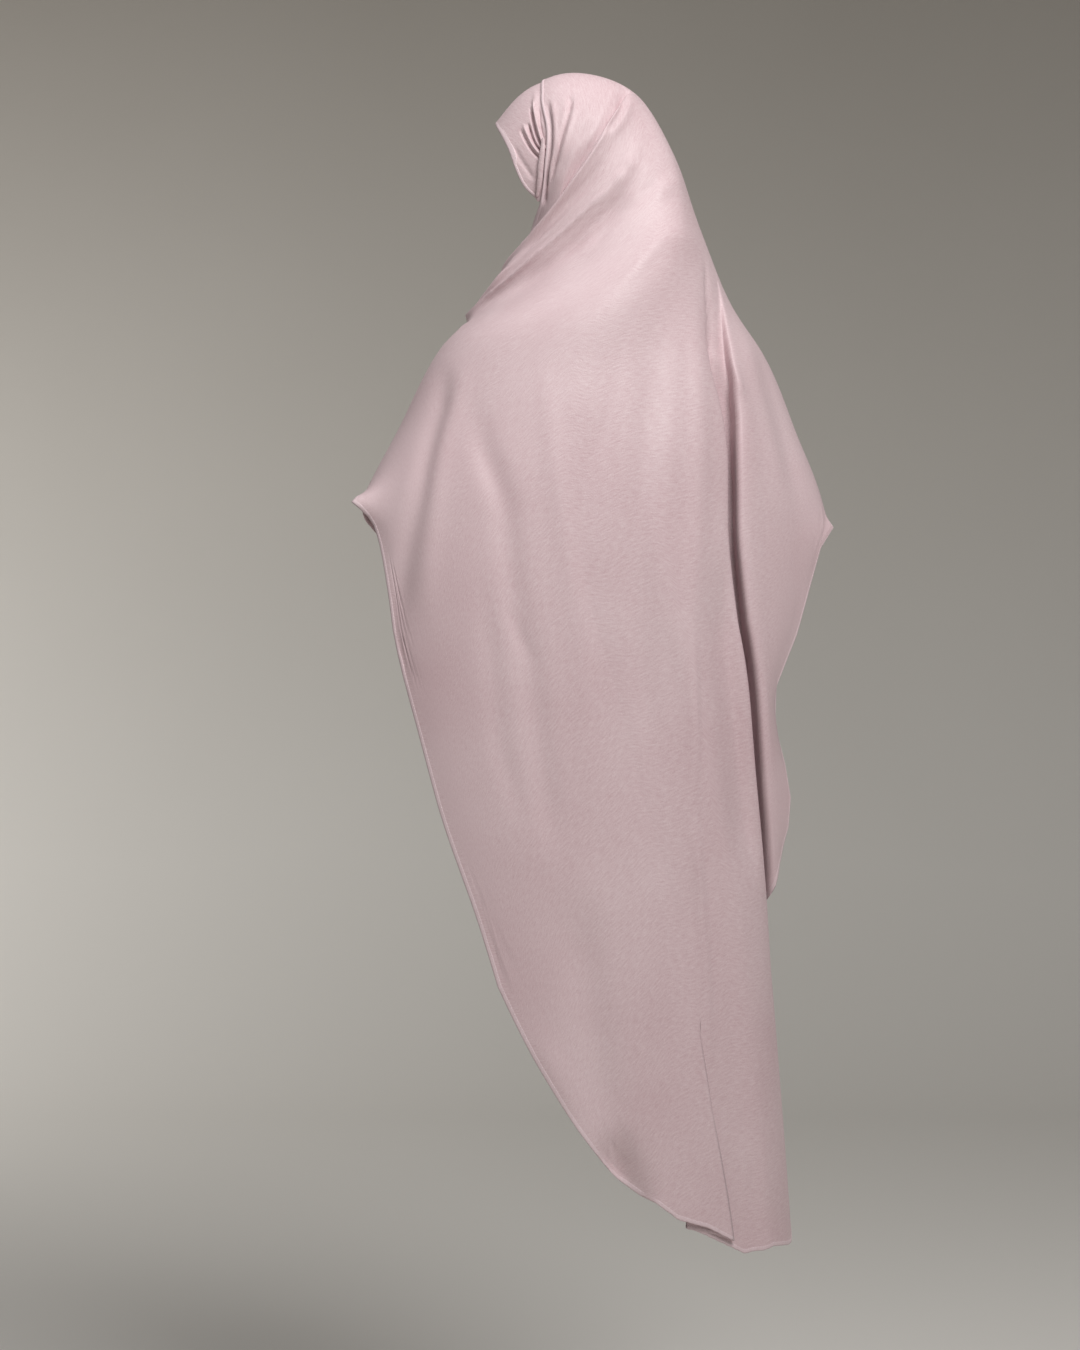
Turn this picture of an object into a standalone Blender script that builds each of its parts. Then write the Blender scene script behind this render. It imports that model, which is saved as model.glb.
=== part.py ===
# A long ready-sewn hijab of satin crepe, in the form that it has when it is worn: a hood with a gathered
# band round the face, and a cape that falls over the shoulders and elbows to a rounded point behind.
# The origin is where the top of a head sits. +Z is up, -Y is the front of the shoulders, +X their left.
import math

import bpy
import numpy as np

# Cloth
WALL = 0.0015  # thickness of the cloth
GAP = 0.0004  # clear space between two pieces
HEM_WIDTH = 0.005  # folded hem of the cape, across
FACE_HEM_WIDTH = 0.0035  # rolled hems round the face, across
HEM_WALL = 0.0022  # thickness of a hem, which is cloth folded on itself

# Hood, round a head
HEAD_LENGTH = 0.220  # forehead to back
HEAD_WIDTH = 0.166  # side to side, over the ears
HEAD_HEIGHT = 0.228  # crown to the edge under the chin
HEAD_TURN = 42.0  # degrees that the head is turned to its left

# Cape, below the neck
ELBOW_SPAN = 0.600  # from one elbow point to the other
ELBOW_TWIST = 0.045  # how far the left elbow is in front of the middle, and the right one behind
BACK_REACH = 0.215  # from the neck's axis back to the lowest point
FRONT_REACH = 0.160  # from the neck's axis forward to the chest
BACK_DROP = 1.388  # crown to the lowest point of the hem
PLEAT_DEPTH = 0.010  # how far a pleat's layers stand apart
CREASE_DEPTH = 0.010  # height of the deepest soft fold

# Forehead band
BAND_TUCK = 0.20  # how far the band runs on under the hood, in sections
BAND_ENDS = (-27.0, 207.0)  # angles where the band ends on the two cheeks
BAND_TAPER = 36.0  # degrees over which the band narrows to each end
BAND_SHORT = 0.0028  # how far the face hem ends short of the hood's front edge
GATHER_DEPTH = 0.0026  # depth of the deepest gather at the temple
GATHER_FREE = 0.15  # within this many sections of the hood's front edge no gather stands proud
BAND_SPAN = 0.055  # from the face edge to the hood's front edge, over the brow
TUCK_WIDTH = 0.007  # the gathered strand, across
TUCK_DEPTH = 0.003
TUCK_ENDS = (14.0, -24.0)  # angles where the strand starts and ends

# How finely the cloth is divided
GATHER_REACH = 62.0  # up to this angle the band's columns stand close
HOOD_ROWS = 12
HOOD_CLOSER = 1.4  # how much closer the rows stand at the hood's front edge
CAPE_ROWS = 19
BAND_ROWS = 12
STRAND_STEPS = 12
STRAND_SIDES = 8
HEM_BLEND = 8  # power by which the rows next to a hem give way to it, higher for fewer rows
HEM_STEPS = 600  # places tried along a column to find where it meets the lower edge
PLAIN_STEP = 7.5  # degrees between two columns on smooth cloth
PLEAT_STEP = 2.2  # degrees between two columns on a pleat
GATHER_STEP = 3.0  # degrees between two columns where the band is gathered

# Sections of the hood, from its front edge to the nape. turn is a share of HEAD_TURN, forwards of
# HEAD_LENGTH, drops of HEAD_HEIGHT, left and right of HEAD_WIDTH. top is the crown line, low the chin line.
HOOD_COLUMNS = ("name", "turn", "top_forward", "top_drop", "low_forward", "low_drop",
                "left", "left_forward", "right", "right_forward", "side_drop")
HOOD_SECTIONS = (
    ("face_edge", 1.00, 0.52, 0.22, 0.40, 0.97, 0.45, 0.31, 0.45, 0.31, 0.56),
    ("front_edge", 1.00, 0.25, 0.02, 0.40, 0.97, 0.46, 0.10, 0.46, 0.10, 0.47),
    ("crown", 1.00, 0.00, 0.00, 0.48, 1.05, 0.50, 0.05, 0.50, 0.00, 0.60),
    ("crown_back", 1.00, -0.26, 0.12, 0.53, 1.13, 0.52, 0.10, 0.52, -0.09, 0.75),
    ("back_of_head", 1.00, -0.44, 0.40, 0.56, 1.20, 0.54, 0.17, 0.56, -0.14, 0.90),
    ("neck", 0.85, -0.535, 0.66, 0.59, 1.28, 0.58, 0.26, 0.66, -0.16, 1.05),
    ("nape", 0.50, -0.61, 0.97, 0.60, 1.39, 0.70, 0.24, 0.91, -0.14, 1.20),
)

# Sections of the cape, from the shoulders down. Drops are shares of BACK_DROP, back of BACK_REACH, front of
# FRONT_REACH, left and right of ELBOW_SPAN, and the forwards of ELBOW_TWIST.
CAPE_COLUMNS = ("name", "back_drop", "front_drop", "side_drop", "back", "front",
                "left", "left_forward", "right", "right_forward")
CAPE_SECTIONS = (
    ("shoulder", 0.238, 0.262, 0.232, 0.65, 0.78, 0.308, 0.1, 0.343, -0.6),
    ("upper_arm", 0.303, 0.318, 0.300, 0.70, 0.84, 0.393, 0.3, 0.414, -0.9),
    ("elbow", 0.375, 0.380, 0.375, 0.74, 0.90, 0.475, 0.4, 0.470, -1.2),
    ("waist", 0.468, 0.468, 0.468, 0.78, 0.96, 0.500, 0.2, 0.445, -1.2),
    ("hip", 0.612, 0.612, 0.612, 0.83, 1.00, 0.490, 0.0, 0.395, -0.8),
    ("thigh", 0.757, 0.757, 0.757, 0.89, 1.00, 0.470, 0.0, 0.375, -0.4),
    ("point", 1.030, 1.030, 1.030, 1.00, 1.00, 0.450, 0.0, 0.420, 0.0),
)
SIDE_POWER = 2.2  # how far the side points' places reach round the rings, less for further
FRONT_PINCH = 1.5  # how much flatter than an ellipse the cape's front corners are
EDGE = 1.0  # the section that is the hood's front edge, where the drape starts

# Lower edge, as angle round the body (0 left, 90 back, 180 right, 270 front) and a share of BACK_DROP
HEM_LINE = (
    (4, 0.374), (9.5, 0.393), (15, 0.430), (20.5, 0.500), (26, 0.558), (32.5, 0.632), (40, 0.712), (49, 0.795),
    (58.5, 0.857), (71, 0.913), (89, 0.951), (104, 0.975), (111, 0.986), (119, 0.992), (126, 0.984),
    (129.5, 0.950), (132, 0.880), (134, 0.790), (135.5, 0.700), (137, 0.610), (139, 0.525), (142.5, 0.470),
    (148, 0.425), (153, 0.388), (166, 0.390), (180, 0.396), (200, 0.420), (230, 0.465), (270, 0.495),
    (310, 0.445), (338, 0.384),
)

# Levels at which a fold's angle is given, as shares of BACK_DROP
FOLD_LEVELS = (0.24, 0.39, 0.54, 0.75, 1.00)

# Pleats, where one layer lies over the next. from and to are shares of BACK_DROP between which a pleat grows,
# window and overlap are in degrees, depth is a share of PLEAT_DEPTH, and angles has one for each fold level.
PLEAT_COLUMNS = ("name", "from", "to", "window", "overlap", "depth", "angles")
PLEATS = (
    ("back_pleat", 0.16, 0.34, 13.0, 11.0, 1.0, (115, 103.5, 110.5, 125.5, 133)),
    ("lower_fold", 0.58, 0.95, 7.0, 6.0, 0.6, (76, 80, 89, 96, 104)),
)

# Soft folds that run down the cape between from and to, shares of BACK_DROP. width is in degrees, and depth is
# a share of CREASE_DEPTH, below nought for a valley.
CREASE_COLUMNS = ("name", "from", "to", "width", "depth", "angles")
CREASES = (
    ("left_valley", 0.27, 0.46, 6.0, -0.6, (32, 30, 18, 18, 18)),
    ("middle_valley", 0.27, 0.52, 6.0, -0.7, (42, 52.5, 60, 63, 63)),
    ("low_valley", 0.50, 0.72, 8.0, -0.5, (60, 60, 60, 64, 64)),
    ("back_hollow", 0.25, 0.60, 8.0, -0.7, (90, 84, 82, 84, 84)),
    ("shoulder_blade", 0.24, 0.50, 7.0, 0.5, (100, 97, 96, 96, 96)),
    ("flap_ridge", 0.24, 0.70, 3.5, 0.5, (127, 119, 126, 134, 140)),
    ("front_left", 0.24, 0.52, 8.0, -0.9, (300, 306, 310, 310, 310)),
    ("front_middle", 0.24, 0.52, 9.0, 0.8, (268, 268, 268, 268, 268)),
    ("front_right", 0.24, 0.52, 8.0, -0.9, (236, 230, 228, 228, 228)),
)

# The waves of the free edge behind the right elbow. drop is a share of BACK_DROP, turn is in degrees, below
# nought where the edge is drawn in, and swing is a share of WAVE_SWING, outwards.
WAVE_COLUMNS = ("drop", "turn", "swing")
WAVES = (
    (0.38, 0, 0.0), (0.45, -1, 0.0), (0.48, -3, 0.0), (0.51, -7, -0.1), (0.53, -9.5, -0.2), (0.55, -9.5, -0.2),
    (0.57, -6.5, 0.0), (0.59, -2.5, 0.3), (0.61, 1.5, 0.7), (0.635, 4, 1.0), (0.66, 2.5, 0.6), (0.69, 0, 0.0),
    (0.715, 0, 0.1), (0.735, 3, 0.6), (0.75, 1.5, 0.3), (0.77, 0, 0.0),
)
WAVE_SWING = 0.020  # how far the largest wave stands out
WAVE_END = 180.0  # no waves beyond this angle
WAVE_WIDTH = 14.0  # degrees from the pleat over which the waves grow to their full size

# The two corners over the elbows, where the hem is pulled out to a point
CORNER_COLUMNS = ("name", "angle", "drop", "reach")
CORNERS = (
    ("left_corner", 4, 0.374, 0.026),
    ("right_corner", 153, 0.386, 0.014),
)
CORNER_WIDTH = 9.0  # degrees
CORNER_HEIGHT = 0.030

# Columns keep to the pleats: at these resting angles the pleats' windows lie side by side
PLEAT_REST = {"lower_fold": 96.0, "back_pleat": 118.0}
COLUMNS_FREE = (40.0, 176.0)  # between these angles the columns follow the pleats

# Gathers of the band, which run to one point at the left temple. angle and section say where each starts,
# width is in metres and depth is a share of GATHER_DEPTH.
TEMPLE = (3.0, 0.90)  # angle and section of the point
GATHER_COLUMNS = ("name", "angle", "section", "width", "depth")
GATHERS = (
    ("upper_gather", 46, 0.68, 0.0035, -1.0),
    ("upper_ridge", 42, 0.55, 0.0035, 0.6),
    ("middle_gather", 40, 0.42, 0.0035, -0.9),
    ("lower_ridge", 37, 0.29, 0.0040, 0.5),
    ("lower_gather", 34, 0.16, 0.0040, -0.6),
)

# Folds that cross the hood's left side from the crown to the chin. Each is a short row of sections, one for
# each of the angles in WRAP_ANGLES, and width is in sections.
WRAP_ANGLES = (-80, -50, -20, 10, 40, 70)
WRAP_FADE = 25.0  # degrees over which they die out at both ends
WRAP_COLUMNS = ("name", "width", "depth", "sections")
WRAPS = (
    ("edge_fold", 0.30, -0.25, (2.6, 2.4, 1.9, 1.6, 1.7, 1.8)),
    ("upper_hollow", 0.35, -0.25, (2.0, 2.1, 2.6, 2.7, 2.7, 2.6)),
    ("upper_wrap", 0.35, 0.40, (2.6, 2.8, 3.3, 3.4, 3.4, 3.3)),
    ("lower_hollow", 0.45, -0.30, (5.6, 5.6, 5.6, 5.2, 4.2, 3.6)),
)


def rows(columns, table):
    return [dict(zip(columns, row)) for row in table]


def hood_rings():
    found = []
    for r in rows(HOOD_COLUMNS, HOOD_SECTIONS):
        found.append((
            r["turn"] * HEAD_TURN, 0.0,
            r["top_forward"] * HEAD_LENGTH, -r["top_drop"] * HEAD_HEIGHT,
            r["low_forward"] * HEAD_LENGTH, -r["low_drop"] * HEAD_HEIGHT,
            r["left"] * HEAD_WIDTH, r["left_forward"] * HEAD_LENGTH,
            r["right"] * HEAD_WIDTH, r["right_forward"] * HEAD_LENGTH,
            -r["side_drop"] * HEAD_HEIGHT,
        ))
    return found


def cape_rings():
    found = []
    for r in rows(CAPE_COLUMNS, CAPE_SECTIONS):
        found.append((
            0.0, FRONT_PINCH,
            -r["back"] * BACK_REACH, -r["back_drop"] * BACK_DROP,
            r["front"] * FRONT_REACH, -r["front_drop"] * BACK_DROP,
            r["left"] * ELBOW_SPAN, r["left_forward"] * ELBOW_TWIST,
            r["right"] * ELBOW_SPAN, r["right_forward"] * ELBOW_TWIST,
            -r["side_drop"] * BACK_DROP,
        ))
    return found


RINGS = np.array(hood_rings() + cape_rings())
LAST_HOOD = float(len(HOOD_SECTIONS))  # the shoulder section, where the cape starts
LAST_RING = float(len(RINGS) - 1)


def curve(x, at, values):
    """A smooth curve through values, which stand at the places at, read at x. Rows of values are read whole."""
    at = np.asarray(at, float)
    values = np.asarray(values, float)
    slope = np.gradient(values, at, axis=0)
    x = np.clip(x, at[0], at[-1])
    k = np.clip(np.searchsorted(at, x, side="right") - 1, 0, len(at) - 2)
    width = at[k + 1] - at[k]
    t = (x - at[k]) / width
    if values.ndim > 1:
        t = t[..., None]
        width = width[..., None]
    return ((2 * t**3 - 3 * t**2 + 1) * values[k] + (t**3 - 2 * t**2 + t) * width * slope[k]
            + (3 * t**2 - 2 * t**3) * values[k + 1] + (t**3 - t**2) * width * slope[k + 1])


def plain_surface(angle, v):
    """The cloth without folds, at an angle round it in degrees and a place v along the sections."""
    rings = curve(v, np.arange(len(RINGS)), RINGS)
    turn, pinch, top_f, top_z, low_f, low_z, left, left_f, right, right_f, side_z = np.moveaxis(rings, -1, 0)
    u = np.radians(angle)
    c, s = np.cos(u), np.sin(u)
    mid_f = (top_f + low_f) / 2
    mid_z = (top_z + low_z) / 2
    side_f = np.where(c > 0, left_f, right_f)
    reach = np.where(c > 0, left, right)
    side = np.abs(c) ** SIDE_POWER
    forward = mid_f + s * (top_f - low_f) / 2 + side * (side_f - mid_f)
    height = mid_z + s * (top_z - low_z) / 2 + side * (side_z - mid_z)
    across = c * reach * np.abs(c) ** (pinch * np.clip(-s, 0, 1) * np.abs(c))
    yaw = np.radians(turn)
    x = forward * np.sin(yaw) + across * np.cos(yaw)
    y = -forward * np.cos(yaw) + across * np.sin(yaw)
    return np.stack([x, y, height], axis=-1)


def outward(angle, v):
    """The direction out of the cloth, worked out from two short steps along it."""
    du = plain_surface(angle + 0.5, v) - plain_surface(angle - 0.5, v)
    dv = plain_surface(angle, np.minimum(v + 0.02, LAST_RING)) - plain_surface(angle, np.maximum(v - 0.02, 0))
    n = np.cross(dv, du)
    return n / np.linalg.norm(n, axis=-1, keepdims=True)


def smooth(x):
    x = np.clip(x, 0, 1)
    return x * x * (3 - 2 * x)


def share_between(row, drop):
    """How far a drop is between a fold's from and to, from 0 to 1."""
    return np.clip((drop / BACK_DROP - row["from"]) / (row["to"] - row["from"]), 0, 1)


def bump(x):
    return np.exp(-x**2)


def level(v):
    """How far down the back a section lies, as a share of BACK_DROP."""
    return np.interp(v, np.arange(len(RINGS)), -RINGS[:, 3] / BACK_DROP)


def in_front(angle):
    """An angle as one from -90 to 270, so that the left side has no jump."""
    return (angle + 90) % 360 - 90


def gathers(angle, v):
    """The relief of the gathers that run to the temple."""
    round_head = math.radians(1) * HEAD_WIDTH / 2
    flat = np.stack([(in_front(angle) - TEMPLE[0]) * round_head, (v - TEMPLE[1]) * BAND_SPAN], axis=-1)
    found = np.zeros(np.shape(angle))
    for row in rows(GATHER_COLUMNS, GATHERS):
        far = np.array([(row["angle"] - TEMPLE[0]) * round_head, (row["section"] - TEMPLE[1]) * BAND_SPAN])
        along = flat @ far / (far @ far)
        aside = np.linalg.norm(flat - np.clip(along, 0, 1)[..., None] * far, axis=-1)
        found = found + row["depth"] * GATHER_DEPTH * bump(aside / row["width"])
    return np.where(v > EDGE - GATHER_FREE, np.minimum(found, 0), found)


def wraps(angle, v):
    """The relief of the folds that cross the hood to the chin."""
    a = in_front(angle)
    found = np.zeros(np.shape(angle))
    for row in rows(WRAP_COLUMNS, WRAPS):
        middle = curve(a, WRAP_ANGLES, row["sections"])
        fade = smooth((a - WRAP_ANGLES[0]) / WRAP_FADE) * smooth((WRAP_ANGLES[-1] - a) / WRAP_FADE)
        found = found + row["depth"] * CREASE_DEPTH * fade * bump((v - middle) / row["width"])
    return found


def waves(angle, drop):
    """How far the waves of the free edge turn the cloth, in degrees, and how far they swing it out."""
    found = curve(drop, [row["drop"] for row in rows(WAVE_COLUMNS, WAVES)],
                  [(row["turn"], row["swing"] * WAVE_SWING) for row in rows(WAVE_COLUMNS, WAVES)])
    pleat = next(row for row in rows(PLEAT_COLUMNS, PLEATS) if row["name"] == "back_pleat")
    free = angle - curve(drop, FOLD_LEVELS, pleat["angles"]) - pleat["window"]
    grown = np.clip(free / WAVE_WIDTH, 0, 1) * smooth((WAVE_END - angle) / WAVE_WIDTH)
    return found[..., 0] * grown, found[..., 1] * grown


def cloth(angle, v, lift=0.0):
    """A point of the cloth's middle with its folds, or lift metres outside it."""
    drop = level(v) * BACK_DROP
    shown = angle.astype(float)
    out = lift + wraps(angle, v)
    turn, swing = waves(angle, drop / BACK_DROP)
    shown = shown + turn
    out = out + swing
    for row in rows(CORNER_COLUMNS, CORNERS):
        beside = bump((angle - row["angle"]) / CORNER_WIDTH)
        out = out + row["reach"] * beside * bump((drop - row["drop"] * BACK_DROP) / CORNER_HEIGHT)
    for row in rows(PLEAT_COLUMNS, PLEATS):
        middle = curve(drop / BACK_DROP, FOLD_LEVELS, row["angles"])
        grown = smooth(share_between(row, drop))
        wave = grown * np.sin(math.pi * np.clip((angle - middle) / row["window"], -1, 1))
        shown = shown - row["overlap"] * wave
        out = out - row["depth"] * PLEAT_DEPTH * wave
    for row in rows(CREASE_COLUMNS, CREASES):
        middle = curve(drop / BACK_DROP, FOLD_LEVELS, row["angles"])
        away = (angle - middle + 180) % 360 - 180
        fade = np.sin(math.pi * share_between(row, drop))
        out = out + row["depth"] * CREASE_DEPTH * fade * bump(away / row["width"])
    return plain_surface(shown, v) + outward(shown, v) * out[..., None]


def rest_columns():
    """The columns' resting angles: even ones, with closer ones across each pleat."""
    found = np.arange(0, 360, PLAIN_STEP)
    for row in rows(PLEAT_COLUMNS, PLEATS):
        low = PLEAT_REST[row["name"]] - row["window"]
        high = PLEAT_REST[row["name"]] + row["window"]
        fine = np.linspace(low, high, int((high - low) / PLEAT_STEP) + 1)
        found = found[(found < low - PLEAT_STEP) | (found > high + PLEAT_STEP)]
        found = np.concatenate([found, fine])
    return np.sort(found)


def followed(rest, v):
    """The angle of one column at places v: the columns bend with the pleats that they carry."""
    at = [np.full(np.shape(v), COLUMNS_FREE[0])]
    still = [COLUMNS_FREE[0]]
    for row in sorted(rows(PLEAT_COLUMNS, PLEATS), key=lambda r: PLEAT_REST[r["name"]]):
        middle = curve(level(v), FOLD_LEVELS, row["angles"])
        for side in (-row["window"], row["window"]):
            at.append(middle + side)
            still.append(PLEAT_REST[row["name"]] + side)
    at.append(np.full(np.shape(v), COLUMNS_FREE[1]))
    still.append(COLUMNS_FREE[1])
    if not COLUMNS_FREE[0] < rest < COLUMNS_FREE[1]:
        return np.full(np.shape(v), rest)
    k = min(int(np.searchsorted(still, rest, side="right")) - 1, len(still) - 2)
    t = (rest - still[k]) / (still[k + 1] - still[k])
    bent = at[k] + (at[k + 1] - at[k]) * t
    return rest + (bent - rest) * smooth((v - EDGE) / (LAST_HOOD - EDGE))


def hem_drop(angle):
    """How far below the crown the lower edge lies, by a smooth curve through the hem's points."""
    points = [(a, d * BACK_DROP) for a, d in HEM_LINE]
    before = [(a - 360, d) for a, d in points[-2:]]
    after = [(a + 360, d) for a, d in points[:2]]
    at, drops = zip(*(before + points + after))
    return curve(angle % 360, at, drops)


def hem_place(rest):
    """The place v along the sections where one column meets the lower edge."""
    v = np.linspace(LAST_HOOD, LAST_RING, HEM_STEPS)
    angle = followed(rest, v)
    past = level(v) * BACK_DROP >= hem_drop(angle)
    return v[int(np.argmax(past))] if past.any() else LAST_RING


def slopes(angle, v):
    """How the cloth runs for one degree and for one section, at grid points."""
    da = (cloth(angle + 0.2, v) - cloth(angle - 0.2, v)) / 0.4
    dv = (cloth(angle, v + 0.01) - cloth(angle, v - 0.01)) / 0.02
    return da, dv


def inset(angle, v, width, closed_round=True):
    """The steps in angle and in v that lead from an edge to a line width metres inside it, up the cloth."""
    points = cloth(angle, v)
    if closed_round:
        run = np.roll(points, -1, axis=0) - np.roll(points, 1, axis=0)
    else:
        run = np.gradient(points, axis=0)
    da, dv = slopes(angle, v)
    normal = np.cross(dv, da)
    inward = np.cross(normal, run)
    inward /= np.linalg.norm(inward, axis=-1, keepdims=True)
    inward *= np.where((inward * dv).sum(-1, keepdims=True) > 0, -1, 1)
    aa, av, vv = (da * da).sum(-1), (da * dv).sum(-1), (dv * dv).sum(-1)
    ia, iv = (inward * da).sum(-1), (inward * dv).sum(-1)
    det = aa * vv - av**2
    return width * (ia * vv - iv * av) / det, width * (iv * aa - ia * av) / det


def drape_grid():
    """Angles and places of the whole drape, a row for each step from the front edge to the lower edge."""
    rest = rest_columns()
    low = np.array([hem_place(a) for a in rest])
    hood = EDGE + (LAST_HOOD - EDGE) * np.linspace(0, 1, HOOD_ROWS, endpoint=False) ** HOOD_CLOSER
    grid_v = [np.full(rest.shape, v) for v in hood]
    for t in np.linspace(0, 1, CAPE_ROWS):
        grid_v.append(LAST_HOOD + (low - LAST_HOOD) * t)
    grid_v = np.array(grid_v)
    grid_a = np.stack([followed(a, grid_v[:, i]) for i, a in enumerate(rest)], axis=1)
    return grid_a, grid_v


def material(name, colour, roughness):
    made = bpy.data.materials.new(name)
    made.use_nodes = True
    shader = made.node_tree.nodes["Principled BSDF"]
    shader.inputs["Base Color"].default_value = (*colour, 1)
    shader.inputs["Roughness"].default_value = roughness
    shader.inputs["Metallic"].default_value = 0.0
    return made


def shell(name, outer, inner, closed_round, finish):
    """A closed wall between two grids of points, joined along its edges."""
    n_rows, n_cols = outer.shape[:2]
    points = np.concatenate([outer.reshape(-1, 3), inner.reshape(-1, 3)])
    size = n_rows * n_cols
    faces = []
    last = n_cols if closed_round else n_cols - 1
    for r in range(n_rows - 1):
        for c in range(last):
            a = r * n_cols + c
            b = r * n_cols + (c + 1) % n_cols
            faces.append((a, a + n_cols, b + n_cols, b))
            faces.append((size + a, size + b, size + b + n_cols, size + a + n_cols))
    for c in range(last):
        b = (c + 1) % n_cols
        low, low_b = (n_rows - 1) * n_cols + c, (n_rows - 1) * n_cols + b
        faces.append((c, b, size + b, size + c))
        faces.append((low, size + low, size + low_b, low_b))
    if not closed_round:
        for r in range(n_rows - 1):
            a, b = r * n_cols, (r + 1) * n_cols
            faces.append((a, size + a, size + b, b))
            a, b = a + n_cols - 1, b + n_cols - 1
            faces.append((a, b, size + b, size + a))
    mesh = bpy.data.meshes.new(name)
    mesh.from_pydata(points.tolist(), [], faces)
    mesh.materials.append(finish)
    mesh.shade_smooth()
    made = bpy.data.objects.new(name, mesh)
    bpy.context.scene.collection.objects.link(made)
    return made


def wall(name, angle, v, lift, thickness, closed_round, finish):
    """A wall of cloth over grid points, with its middle lift metres outside the drape's middle."""
    return shell(name, cloth(angle, v, lift + thickness / 2), cloth(angle, v, lift - thickness / 2),
                 closed_round, finish)


def make_drape(finish):
    """The drape, cut short of both its edges, and the two hems that run on from it."""
    angle, v = drape_grid()
    low_a, low_v = inset(angle[-1], v[-1], HEM_WIDTH)
    top_a, top_v = inset(angle[0], v[0], FACE_HEM_WIDTH)
    down = np.linspace(0, 1, len(v))[:, None]
    low = down ** HEM_BLEND
    top = (1 - down) ** HEM_BLEND
    past = 1 + GAP / HEM_WIDTH
    past_top = 1 + GAP / FACE_HEM_WIDTH
    wall("drape", angle + (low * low_a) * past - (top * top_a) * past_top,
         v + (low * low_v) * past - (top * top_v) * past_top, 0.0, WALL, True, finish)
    for name, edge, da, dv in (("drape_hem", -1, low_a, low_v), ("crown_hem", 0, -top_a, -top_v)):
        strip_a = np.stack([angle[edge], angle[edge] + da])
        strip_v = np.stack([v[edge], v[edge] + dv])
        if edge == -1:
            strip_a, strip_v = strip_a[::-1], strip_v[::-1]
        wall(name, strip_a, strip_v, 0.0, HEM_WALL, True, finish)


def band_columns():
    low, high = BAND_ENDS
    close = np.arange(low, GATHER_REACH, GATHER_STEP)
    plain = np.linspace(GATHER_REACH, high, int((high - GATHER_REACH) / PLAIN_STEP) + 1)
    return np.concatenate([close, plain])


def make_band(finish):
    """The band under the hood's front edge, and the rolled hem on its free edge."""
    angle = band_columns()
    low, high = BAND_ENDS
    near_end = np.minimum(angle - low, high - angle) / BAND_TAPER
    across = cloth(angle, np.full(angle.shape, EDGE)) - cloth(angle, np.zeros(angle.shape))
    span = np.linalg.norm(across, axis=-1)
    face = (1 - np.clip(near_end, 0, 1)) ** 2 * (EDGE - (FACE_HEM_WIDTH + BAND_SHORT) / span)
    back = EDGE + BAND_TUCK
    lift = -(WALL + HEM_WALL) / 2 - GAP
    da, dv = inset(angle, face, FACE_HEM_WIDTH, False)
    past = 1 + GAP / FACE_HEM_WIDTH
    t = np.linspace(0, 1, BAND_ROWS)[:, None]
    start_a, start_v = angle - da * past, face - dv * past
    grid_a = start_a + (angle - start_a) * t
    grid_v = start_v + (back - start_v) * t
    wall("forehead_band", grid_a, grid_v, lift + gathers(grid_a, grid_v), WALL, False, finish)
    wall("face_hem", np.stack([angle, angle - da]), np.stack([face, face - dv]), lift, HEM_WALL, False, finish)


def make_tuck(finish):
    """The gathered strand that runs down from the temple, before the hood's edge."""
    t = np.linspace(0, 1, STRAND_STEPS + 1)
    angle = TUCK_ENDS[0] + (TUCK_ENDS[1] - TUCK_ENDS[0]) * t
    edge = np.full(t.shape, EDGE)
    da, dv = inset(angle, edge, TUCK_WIDTH / 2 + GAP, False)
    angle, v = angle + da, edge + dv
    lift = (TUCK_DEPTH - HEM_WALL) / 2
    middle = cloth(angle, v, lift)
    out = outward(angle, v)
    run = np.gradient(middle, axis=0)
    side = np.cross(run, out)
    side /= np.linalg.norm(side, axis=-1, keepdims=True)
    swell = 0.35 + 0.65 * np.sin(math.pi * t) ** 0.5
    rings = []
    for k in range(STRAND_SIDES):
        turn = 2 * math.pi * k / STRAND_SIDES
        rings.append(middle + side * (swell * TUCK_WIDTH / 2 * math.cos(turn))[:, None]
                     - out * (swell * TUCK_DEPTH / 2 * math.sin(turn))[:, None])
    tube("temple_tuck", np.stack(rings, axis=1), finish)


def tube(name, rings, finish):
    """A closed body through rings of points, with a flat face at each end."""
    n, sides = rings.shape[:2]
    faces = [tuple(range(sides - 1, -1, -1)), tuple((n - 1) * sides + k for k in range(sides))]
    for r in range(n - 1):
        for k in range(sides):
            a, b = r * sides + k, r * sides + (k + 1) % sides
            faces.append((a, b, b + sides, a + sides))
    mesh = bpy.data.meshes.new(name)
    mesh.from_pydata(rings.reshape(-1, 3).tolist(), [], faces)
    mesh.materials.append(finish)
    mesh.shade_smooth()
    made = bpy.data.objects.new(name, mesh)
    bpy.context.scene.collection.objects.link(made)
    return made


def main():
    for old in list(bpy.data.objects):
        bpy.data.objects.remove(old)
    make_drape(material("satin_crepe", (0.62, 0.46, 0.47), 0.45))
    make_band(material("band_crepe", (0.64, 0.48, 0.49), 0.45))
    make_tuck(material("tuck_crepe", (0.60, 0.44, 0.45), 0.45))


main()
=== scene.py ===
import math

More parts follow.
